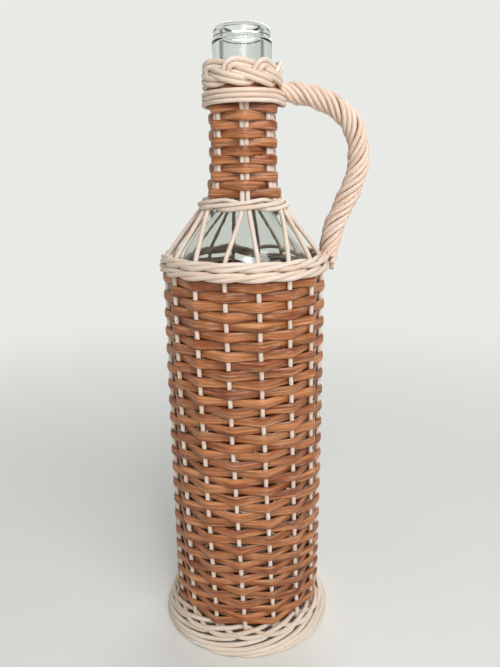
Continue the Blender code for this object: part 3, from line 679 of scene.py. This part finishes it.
def draw_strip(name, route, sides, room, widths, thickness, curl, seed):
    """Draw a strip with its widths behind a stake, between two and in front of one.

    Its section is flat on the inner side, with thin round edges and a slightly crowned outer side.
    """
    across = thickness / 2
    crown = [(across * (1 - STRIP_CROWN_DROP * abs(high) ** 4), high / 2) for high in STRIP_CROWN_HEIGHTS]
    inner = [(-across, -0.46), (-across, 0), (-across, 0.46)]
    section = [*inner, (-0.4 * across, 0.5), *crown, (-0.4 * across, -0.5)]
    section = [(out, up * widths[1]) for out, up in section]
    mesh = draw(name, route, section, upright=True, seed=seed)
    spots = np.empty(len(route) * len(section) * 3, np.float32)
    mesh.vertices.foreach_get("co", spots)
    spots = spots.reshape(len(route), len(section), 3)
    middle = np.array([point.z for point in route])[:, None]
    stray = [wander(index * 2 * MM, seed + 3, *STRIP_WIDTH_STRAY) for index in range(len(route))]
    wide = np.interp(sides, (-1, 0, 1), widths) * (np.array(room) + np.array(stray))
    aside = (spots[:, :, 2] - middle) / (widths[1] / 2)
    spots[:, :, 2] = middle + aside * wide[:, None] / 2
    inward = curl * np.array(sides)[:, None] * aside**2
    spots[:, :, :2] *= 1 - (inward / np.hypot(spots[:, :, 0], spots[:, :, 1]))[:, :, None]
    mesh.vertices.foreach_set("co", spots.ravel())
    return close_ends(mesh)


def combine(tree, operation, one, two):
    """Two values brought together by an operation."""
    links = {"Value": one, "Value_001": two}
    return add_node(tree, "ShaderNodeMath", links, out="Value", operation=operation)


def strip_material(name, pale, light, mid, dark, half_width):
    """Stained split cane: satin, with long light and dark fibres, and painted shade darker towards its
    edges.

    Some fibres are painted pale, as a painted sheen along them, and the light fibres are partly painted
    sheen too. Real fibres are about 0.3 mm wide. They are drawn up to three times as wide, or they wouldn't
    show.
    """
    material, tree = new_material(name)
    where = add_node(tree, "ShaderNodeAttribute", attribute_name="cane_place", out="Vector")
    drift = grain(tree, 50 * MM, 5 * MM, 2.0, 0.62)
    tone = add_node(tree, "ShaderNodeValToRGB", {"Fac": drift})
    ramp = tone.color_ramp
    ramp.elements[0].position = 0.36
    ramp.elements[0].color = linear(dark)
    ramp.elements[1].position = 0.64
    ramp.elements[1].color = linear(light)
    ramp.elements.new(0.5).color = linear(mid)
    fibres = grain(tree, 30 * MM, 0.9 * MM, 3.0, 0.62)
    # Fibres darken and lighten the colour: real grain, with the lightest ones partly a painted sheen.
    lines = remap(tree, fibres, 0.34, 0.66, 0.5, 1.42)
    height = add_node(tree, "ShaderNodeSeparateXYZ", {"Vector": where}, out="Z")
    aside = add_node(tree, "ShaderNodeMath", {"Value": height}, out="Value", operation="ABSOLUTE")
    # Painted shade: the strip's colour is darkened towards both its edges, where the rows meet.
    edge = remap(tree, aside, half_width * 0.75, half_width, 1.0, 0.7)
    shade = combine(tree, "MULTIPLY", lines, edge)
    colour = add_node(tree, "ShaderNodeMix", {"A_Color": tone.outputs["Color"], "B_Color": shade},
                      {"Factor_Float": 1.0}, "Result_Color", data_type="RGBA", blend_type="MULTIPLY")
    # Painted sheen: pale streaks painted along some fibres stand for light caught on them.
    painted_sheen_streaks = remap(tree, grain(tree, 11 * MM, 0.55 * MM, 2.0, 0.62), 0.54, 0.72, 0.0, 0.7)
    colour = add_node(tree, "ShaderNodeMix", {"Factor_Float": painted_sheen_streaks, "A_Color": colour},
                      {"B_Color": linear(pale)}, "Result_Color", data_type="RGBA")
    gloss = remap(tree, fibres, 0.0, 1.0, 0.24, 0.52)
    relief = add_node(tree, "ShaderNodeBump", {"Height": fibres},
                      {"Strength": 0.8, "Distance": 0.18 * MM}, "Normal")
    shader = add_node(tree, "ShaderNodeBsdfPrincipled",
                      {"Base Color": colour, "Roughness": gloss, "Normal": relief},
                      {"IOR": 1.5, "Specular IOR Level": 0.5}, "BSDF")
    add_node(tree, "ShaderNodeOutputMaterial", {"Surface": shader})
    return material


# Stained split cane: warm brown with a satin skin and long fibres. Its pale colour is a painted sheen on
# streaks of fibres, and its edges get painted shade.
brown_strip = strip_material("stained_split_cane", "#E3B191", "#C08050", "#AC6839", "#843F18",
                             STRIP_WIDTHS[1] / 2)
route, sides, room = body_route()
mesh = draw_strip("body_weaver", route, sides, room, STRIP_WIDTHS, STRIP_THICKNESS, STRIP_CURL, 71)
add_piece("body_strip", mesh, brown_strip, "brown_strip", "body_weaver")

# Shoulder band.
# Three pale canes are woven together above the brown weave, twice round: each goes in front of two
# stakes, rising as it goes, and dips behind the third.

WALE_DIAMETER = 2.4 * MM
WALE_LIFT = 2.3 * MM
WALE_ROUNDS = 2
WALE_STAND_OFF = 2.3 * MM
WALE_RISE = {0: 0.5, 0.5: 0, 1: 0, 1.5: 0.5, 2: 1, 2.5: 1}
WALE_OUT = {0: -0.85, 0.5: 0.15, 1: 0.95, 1.5: 1, 2: 0.95, 2.5: 0.15}


def wale_route(first):
    """One of the canes of the band, counted by the first stake that it goes behind."""
    last = WALE_ROUNDS * STAKES - 1
    last_behind = last - (last - first) % 3
    route = []
    for half_step in range(2 * first, 2 * last_behind + 1):
        station = half_step / 2
        phase = (station - first) % 3
        height = BODY_TOP + 2 * WALE_LIFT * (half_step // (2 * STAKES))
        height += (WALE_RISE[phase] + 0.5) * WALE_LIFT
        if half_step % (2 * STAKES) == 2 * STAKES - 1:
            height += WALE_LIFT
        azimuth = stake_azimuth(BACK_STAKE + station, height)
        route.append(place(stake_at(height) + WALE_OUT[phase] * WALE_STAND_OFF, azimuth, height))
    return smooth(route, 5)


# Peeled willow of the band, ring, binding and collar: cream with a rosy cast between the canes.
band_willow = cane_material("peeled_willow_band", "#F1E4D7", "#E9D0BA", "#B8916E", 0.5)
for number in range(3):
    name = f"wale_cane_{number + 1}"
    mesh = cane(name, wale_route(number), round_12, WALE_DIAMETER / 2, swell=0.1, seed=80 + number)
    add_piece(f"{name}_cane", mesh, band_willow, "pale_cane", name)

# Neck ring.
# Three canes go once round the foot of the neck, in front of two groups of stakes and behind one,
# and hold the ribs together.

RING_DIAMETER = 2.3 * MM
RING_LIFT = 2.18 * MM
RING_BOTTOM = 235.05 * MM
RING_START = 5
RING_STAND_OFF = 2.3 * MM
RING_RISE = {0: 1, 0.5: 0, 1: 0.5, 1.5: 1, 2: 1.5, 2.5: 2}
RING_OUT = {0: -1, 0.5: -0.1, 1: 0.95, 1.5: 0.85, 2: 0.95, 2.5: 0.1}


def group_crossing(station, height, thickness, margin, front):
    """Half angle and radius of the two corners where a weaver passes a group of stakes."""
    size = GROUP_SIZES[station % GROUPS]
    radius = stake_at(height)
    spread = PAIR_SPREAD * (size - 1)
    half = spread + math.degrees(margin / radius)
    slope = (stake_at(height - STAKE_DIAMETER / 2) - stake_at(height + STAKE_DIAMETER / 2)) / STAKE_DIAMETER
    reach = ((STAKE_DIAMETER + thickness) / 2 + CLEARANCE / 4) * math.hypot(1, slope)
    nearest = PAIR_SPREAD * (1 - size % 2)
    if front:
        flat = radius * math.cos(math.radians(nearest)) + reach
    else:
        flat = radius * math.cos(math.radians(spread)) - reach
    return half, flat / math.cos(math.radians(half))


def ring_route(first):
    """One of the canes round the root of the neck, counted by the group that it starts behind."""
    route = []
    for half_step in range(2 * first, 2 * (first + GROUPS) + 1):
        station = half_step / 2
        phase = (station - first) % 3
        height = RING_BOTTOM + (RING_RISE[phase] + 0.5) * RING_LIFT
        radius = stake_at(height) + RING_OUT[phase] * RING_STAND_OFF
        route.append(place(radius, group_azimuth(station), height))
    return smooth(route, 8)


for number in range(3):
    name = f"neck_ring_cane_{number + 1}"
    route = ring_route(RING_START + number)
    mesh = cane(name, route, round_12, RING_DIAMETER / 2, swell=0.08, seed=90 + number)
    add_piece(f"{name}_cane", mesh, band_willow, "pale_cane", name)

# Neck weave.
# The same brown strip, a little narrower, is woven in eleven rows over and under the seven groups
# of stakes, and runs on outside them as a seat for the binding and the collar.

NECK_BOTTOM = 241.59 * MM
NECK_ROWS = 11
NECK_WRAPS = 3
NECK_PITCH = 3.964 * MM
NECK_STRIP_WIDTHS = (4.7 * MM, 3.95 * MM, 5.1 * MM)
NECK_STRIP_THICKNESS = 0.85 * MM
NECK_STRIP_CURL = 0.3 * MM


def neck_route():
    """The neck strip, in front of every other group, then round outside them all."""
    route, sides = [], []
    for stop in range(1, (NECK_ROWS + NECK_WRAPS) * GROUPS):
        row, station = divmod(stop, GROUPS)
        height = NECK_BOTTOM + (row + 0.5) * NECK_PITCH
        wrapped = row >= NECK_ROWS
        front = wrapped or (station + row) % 2 == 0
        half, radius = group_crossing(station, height, NECK_STRIP_THICKNESS, STAKE_DIAMETER / 2, front)
        for side in (-1, 1):
            route.append(place(radius, group_azimuth(station) + side * half, height))
            sides.append(0 if wrapped else 1 if front else -1)
    smoothed = smooth(route, 6)
    places = np.linspace(0, len(sides) - 1, len(smoothed))
    return smoothed, list(np.interp(places, range(len(sides)), sides))


# Its pale colour is painted sheen on streaks of fibres, and it is painted darker towards its edges as
# painted shade, as on the body strip.
neck_strip = strip_material("stained_split_cane_neck", "#E4B294", "#C08052", "#AB683A", "#84401A",
                            NECK_STRIP_WIDTHS[1] / 2)
route, sides = neck_route()
room = [1] * len(route)
mesh = draw_strip("neck_weaver", route, sides, room, NECK_STRIP_WIDTHS, NECK_STRIP_THICKNESS,
                  NECK_STRIP_CURL, 100)
add_piece("neck_strip", mesh, neck_strip, "brown_strip", "neck_weaver")

# Binding.
# One pale cane is wound three times round the top of the neck weave, with both its ends tucked
# away under the handle's root.

BINDING_TOP = 291.73 * MM
BINDING_TURNS = 3
BINDING_PITCH = 2.18 * MM
BINDING_DIAMETER = 2.12 * MM
BINDING_RADIUS = 18.9 * MM
BINDING_STEPS = 72
BINDING_BULGE = 1.5 * MM
BINDING_BULGE_WIDTH = 36.0
BINDING_BULGE_DROP = 0.8
BINDING_TUCK = 6
BINDING_TUCK_DEPTH = 0.35 * MM
BINDING_STRAY = (0.25 * MM, 30 * MM)
BINDING_TURN_LENGTH = 120 * MM


def binding_route():
    """Turns of cane round the top of the neck weave, pushed down and out by the handle's root.

    The first steps are left out, and the next ones lie deeper, behind the handle.
    """
    end = BINDING_TOP - BINDING_PITCH / 2
    route = []
    for step in range(BINDING_TUCK, BINDING_TURNS * BINDING_STEPS + 1):
        left = BINDING_TURNS - step / BINDING_STEPS
        stray = wander(left * BINDING_TURN_LENGTH, 110, *BINDING_STRAY)
        near = 1 - abs(left - round(left)) * 360 / BINDING_BULGE_WIDTH
        bulge = BINDING_BULGE * ease(max(0, near))
        height = end - BINDING_PITCH * left - BINDING_BULGE_DROP * bulge
        tucked = BINDING_TUCK_DEPTH * max(0, 2 * BINDING_TUCK - step)
        radius = BINDING_RADIUS + stray + bulge - tucked
        route.append(place(radius, HANDLE_AZIMUTH - left * 360, height))
    return route


mesh = cane("neck_binding", binding_route(), round_12, BINDING_DIAMETER / 2, swell=0.08, seed=110)
add_piece("neck_binding_cane", mesh, band_willow, "pale_cane", "neck_binding")

# Collar.
# Two pale canes, side by side, plait with themselves three times round the neck below the glass
# ring, with eight bights above and eight below.

COLLAR_HEIGHT = 12.9 * MM
COLLAR_LEADS = 3
COLLAR_BIGHTS = 8
COLLAR_STEPS = 40
COLLAR_LEAN = 32.0
COLLAR_START = 11.0
COLLAR_DIAMETER = 2.42 * MM
COLLAR_DEPTH = 1.2 * MM
COLLAR_DEPTH_POWER = 0.7
COLLAR_RADIUS = 17.8 * MM


def collar_routes():
    """Two canes side by side that plait with themselves three times round the neck."""
    offset = COLLAR_DIAMETER / 2
    swing = COLLAR_HEIGHT / 2 - COLLAR_DIAMETER
    count = COLLAR_BIGHTS * COLLAR_STEPS
    line = []
    for step in range(-1, count + 1):
        wave = 2 * math.pi * step / COLLAR_STEPS
        height = swing * math.cos(wave)
        lean = COLLAR_LEAN * height / (2 * swing)
        azimuth = COLLAR_START + COLLAR_LEADS * 360 * step / count - lean
        twist = -math.sin(2 * wave)
        depth = COLLAR_DEPTH * math.copysign(abs(twist) ** COLLAR_DEPTH_POWER, twist)
        line.append((azimuth, height, COLLAR_RADIUS + depth))
    routes = []
    for side in (-1, 1):
        route = []
        for before, here, after in zip(line, line[1:], line[2:]):
            along = math.radians(after[0] - before[0]) * COLLAR_RADIUS
            up = after[1] - before[1]
            length = math.hypot(along, up)
            turned = math.degrees(-side * offset * up / length / COLLAR_RADIUS)
            height = BINDING_TOP + COLLAR_HEIGHT / 2 + here[1] + side * offset * along / length
            route.append(place(here[2], here[0] + turned, height))
        routes.append(route)
    return routes


for number, route in enumerate(collar_routes()):
    name = f"collar_cane_{number + 1}"
    mesh = cane(name, route, round_12, COLLAR_DIAMETER / 2, closed=True, swell=0.06, seed=120 + number)
    add_piece(f"{name}_cane", mesh, band_willow, "pale_cane", name)

# Handle.
# Eight canes are laid round a core like a rope, with a right-hand lay. The rope leaves the neck
# between collar and binding, bows out and comes down into the shoulder band.

HANDLE_STAND_OFF = 17.4 * MM
HANDLE_FOOT_OUT = 2.4 * MM
HANDLE_ROOT_RADIUS = 20.8 * MM
HANDLE_ROOT_HEIGHT = 291.13 * MM
HANDLE_FOOT_HEIGHT = 213.93 * MM
HANDLE_CANES = 8
HANDLE_CANE_DIAMETER = 2.45 * MM
HANDLE_LAY_RADIUS = 4.15 * MM
HANDLE_LAY_LENGTH = 36.0 * MM
HANDLE_CORE_RADIUS = 2.9 * MM
HANDLE_OUT_SHARES = ((-0.085, 0.0), (0.0, 0.0), (0.33, 0.022), (0.66, 0.09), (0.91, 0.21), (1.0, 0.38))
HANDLE_BACK_SHARES = ((0.89, 0.53), (0.556, 0.7), (0.235, 0.85), (0.08, 1.0), (0.07, 1.12))
HANDLE_STEP = 1.6 * MM
HANDLE_CORE_STEP = 3 * MM
HANDLE_TAPER = ((0, 0.62), (0.07, 1), (0.85, 1), (1, 1.1))
HANDLE_FLATTENING = ((0, 1), (0.88, 1), (1, 0.45))
HANDLE_LUMP = 0.3 * MM
HANDLE_STRAY = (0.12, 24 * MM)
HANDLE_TWISTS = ((0.2, 10.0 * MM), (0.12, 14.0 * MM))
HANDLE_CUT = 0.9 * MM
HANDLE_CUT_ORDER = 5


def handle_line():
    """Middle line of the handle, from the collar's foot out and down to the shoulder band."""
    foot_radius = STAKE_RADIUS + HANDLE_FOOT_OUT
    points = []
    halves = ((HANDLE_ROOT_RADIUS, HANDLE_OUT_SHARES), (foot_radius, HANDLE_BACK_SHARES))
    for start_radius, shares in halves:
        for out, down in shares:
            radius = start_radius + out * (STAKE_RADIUS + HANDLE_STAND_OFF - start_radius)
            height = HANDLE_ROOT_HEIGHT - down * (HANDLE_ROOT_HEIGHT - HANDLE_FOOT_HEIGHT)
            points.append(place(radius, HANDLE_AZIMUTH, height))
    return smooth(points, 14)


def spaced(curve, step):
    """Points at even distances along a curve, its direction at each, and how far along each is."""
    path = np.array([tuple(point) for point in curve])
    lengths = np.concatenate([[0], np.cumsum(np.linalg.norm(np.diff(path, axis=0), axis=1))])
    stops = np.linspace(0, lengths[-1], round(lengths[-1] / step))
    spots = np.stack([np.interp(stops, lengths, path[:, axis]) for axis in range(3)], axis=1)
    ways = np.gradient(spots, axis=0)
    ways /= np.linalg.norm(ways, axis=1)[:, None]
    return spots, ways, stops


def handle_cane_route(number):
    """One of the canes laid round the handle's core.

    They are wound more steeply near both ends. At the foot they lie flat on the outside of the
    band and are cut off there, none as long as the next.
    """
    across = np.array(place(1, HANDLE_AZIMUTH + 90, 0))
    spots, ways, stops = spaced(handle_line(), HANDLE_STEP)
    (root_twist, root_reach), (foot_twist, foot_reach) = HANDLE_TWISTS
    cut = number * HANDLE_CUT_ORDER % HANDLE_CANES * HANDLE_CUT
    route = []
    for spot, way, stop in zip(spots, ways, stops):
        if stop > stops[-1] - cut:
            break
        inward = np.cross(across, way)
        wound = stop / HANDLE_LAY_LENGTH + root_twist * (1 - math.exp(-stop / root_reach))
        wound += foot_twist * math.exp((stop - stops[-1]) / foot_reach)
        turn = 2 * math.pi * (wound + number / HANDLE_CANES) + wander(stop, 130 + number, *HANDLE_STRAY)
        radius = np.interp(stop / stops[-1], *zip(*HANDLE_TAPER))
        flat = np.interp(stop / stops[-1], *zip(*HANDLE_FLATTENING))
        radius *= HANDLE_LAY_RADIUS + (number % 3 - 1) * HANDLE_LUMP
        aside = flat * inward * math.cos(turn) + across * math.sin(turn)
        route.append(Vector(spot + radius * aside))
    return route


handle_willow = cane_material("peeled_willow_handle", "#F1DFD0", "#EACBB4", "#B48A6C", 0.5)
for number in range(HANDLE_CANES):
    name = f"handle_cane_{number + 1}"
    route = handle_cane_route(number)
    mesh = cane(name, route, round_12, HANDLE_CANE_DIAMETER / 2, swell=0.08, seed=130 + number)
    add_piece(f"{name}_cane", mesh, handle_willow, "pale_cane", name)

# The core stops short of both ends, inside the canes.
core = [Vector(spot) for spot in spaced(handle_line(), HANDLE_CORE_STEP)[0][2:-4]]
mesh = cane("handle_core", core, round_12, HANDLE_CORE_RADIUS, seed=140)
add_piece("handle_core_cane", mesh, core_cane, "core_cane", "handle_core")

# Floor and light.
# A pale floor runs out into a pale background. Soft lamps light the bottle from above and from the
# right front, a weak one from the left and one from behind, in a glow that is weaker at the left.

BACKGROUND = "#E9EAE6"
ROOM_SHADE = "#44474A"
FLOOR_RADIUS = 4.0
FLOOR_NEAR = 0.1
FLOOR_FAR = 0.8
LAMP_AIM = Vector((0, 0, 0.17))


def seen_directly(tree):
    """1 for rays from the camera, off a gloss or through glass, and 0 for the others."""
    path = add_node(tree, "ShaderNodeLightPath")
    seen = path.outputs["Is Camera Ray"]
    for ray in ("Is Glossy Ray", "Is Transmission Ray"):
        seen = combine(tree, "MAXIMUM", seen, path.outputs[ray])
    return seen


floor_paper, tree = new_material("pale_floor_paper")
spots = add_node(tree, "ShaderNodeTexCoord", out="Object")
distance = add_node(tree, "ShaderNodeVectorMath", {"Vector": spots}, out="Value", operation="LENGTH")
away = remap(tree, distance, FLOOR_NEAR, FLOOR_FAR, interpolation_type="SMOOTHSTEP")
matt = add_node(tree, "ShaderNodeBsdfDiffuse", values={"Color": linear(BACKGROUND)}, out="BSDF")
plain = add_node(tree, "ShaderNodeEmission", values={"Color": linear(BACKGROUND)}, out="Emission")
direct = combine(tree, "MULTIPLY", away, seen_directly(tree))
surface = add_node(tree, "ShaderNodeMixShader", {"Fac": direct, "Shader": matt, "Shader_001": plain},
                   out="Shader")
add_node(tree, "ShaderNodeOutputMaterial", {"Surface": surface})

shape = bmesh.new()
bmesh.ops.create_circle(shape, cap_ends=True, segments=96, radius=FLOOR_RADIUS)
mesh = bpy.data.meshes.new("floor")
shape.to_mesh(mesh)
shape.free()
mesh.materials.append(floor_paper)
floor = bpy.data.objects.new("floor", mesh)
bpy.context.scene.collection.objects.link(floor)

# The glow lights the bottle. What is seen instead is a pale room with a dark ceiling, and off a
# gloss or through glass it has darker sides too, which draw the edges of the glass.
scene = bpy.context.scene
scene.view_settings.view_transform = "Standard"
world = bpy.data.worlds.new("pale_room")
world.use_nodes = True
tree = world.node_tree
tree.nodes.clear()
way = add_node(tree, "ShaderNodeTexCoord", out="Generated")
parts = add_node(tree, "ShaderNodeSeparateXYZ", {"Vector": way})
strength = remap(tree, parts.outputs["X"], -1.0, 1.0, 0.16, 0.4)
glow = add_node(tree, "ShaderNodeBackground", {"Strength": strength},
                {"Color": linear("#FFFFFF")}, "Background")
overhead = remap(tree, parts.outputs["Z"], 0.32, 0.62, interpolation_type="SMOOTHSTEP")
aside = add_node(tree, "ShaderNodeMath", {"Value": parts.outputs["X"]}, out="Value", operation="ABSOLUTE")
flank = remap(tree, aside, 0.6, 0.85, 0.0, 0.7, interpolation_type="SMOOTHSTEP")
camera_ray = add_node(tree, "ShaderNodeLightPath", out="Is Camera Ray")
through = add_node(tree, "ShaderNodeMath", {"Value_001": camera_ray}, {"Value": 1.0}, "Value",
                   operation="SUBTRACT")
dark = combine(tree, "MAXIMUM", overhead, combine(tree, "MULTIPLY", flank, through))
room = add_node(tree, "ShaderNodeMix", {"Factor_Float": dark},
                {"A_Color": linear(BACKGROUND), "B_Color": linear(ROOM_SHADE)},
                "Result_Color", data_type="RGBA")
shown = add_node(tree, "ShaderNodeBackground", {"Color": room}, {"Strength": 1.0}, "Background")
seen = seen_directly(tree)
mixed = add_node(tree, "ShaderNodeMixShader", {"Fac": seen, "Shader": glow, "Shader_001": shown},
                 out="Shader")
add_node(tree, "ShaderNodeOutputWorld", {"Surface": mixed})
scene.world = world

LAMPS = (
    ("top_lamp", (0.24, -0.42, 0.6), (0.4, 0.4), 2.1),
    ("window_lamp", (0.16, -0.9, 0.72), (0.35, 0.9), 3.3),
    ("side_lamp", (-0.9, -0.5, 0.6), (0.8, 0.8), 0.8),
    ("back_lamp", (0.2, 0.9, 0.9), (0.8, 0.8), 5.0),
)
for name, spot, size, power in LAMPS:
    lamp = bpy.data.lights.new(name, "AREA")
    lamp.shape = "RECTANGLE"
    lamp.size, lamp.size_y = size
    lamp.energy = power
    holder = bpy.data.objects.new(name, lamp)
    holder.location = spot
    holder.rotation_euler = (LAMP_AIM - Vector(spot)).to_track_quat("-Z", "Y").to_euler()
    scene.collection.objects.link(holder)

# Camera.
# It stands close in front of the bottle, below the mouth's height, and looks down on the foot.

CAMERA_SPOT = Vector((0.01001, -0.30997, 0.25396))
CAMERA_DOWN = math.radians(15.292)
CAMERA_YAW = math.radians(-1.327)
CAMERA_ROLL = math.radians(0.452)
CAMERA_LENS = 32.0
ahead = Vector((math.sin(CAMERA_YAW), math.cos(CAMERA_YAW), 0))
right = Vector((math.cos(CAMERA_YAW), -math.sin(CAMERA_YAW), 0))
view = ahead * math.cos(CAMERA_DOWN) - Vector((0, 0, math.sin(CAMERA_DOWN)))
up = ahead * math.sin(CAMERA_DOWN) + Vector((0, 0, math.cos(CAMERA_DOWN)))
rolled_right = right * math.cos(CAMERA_ROLL) - up * math.sin(CAMERA_ROLL)
rolled_up = right * math.sin(CAMERA_ROLL) + up * math.cos(CAMERA_ROLL)
camera_data = bpy.data.cameras.new("camera")
camera_data.lens = CAMERA_LENS
camera_data.sensor_width = 36.0
camera_data.clip_start = 0.01
camera = bpy.data.objects.new("camera", camera_data)
turned = Matrix((rolled_right, rolled_up, -view)).transposed().to_4x4()
camera.matrix_world = Matrix.Translation(CAMERA_SPOT) @ turned
scene.collection.objects.link(camera)
scene.camera = camera
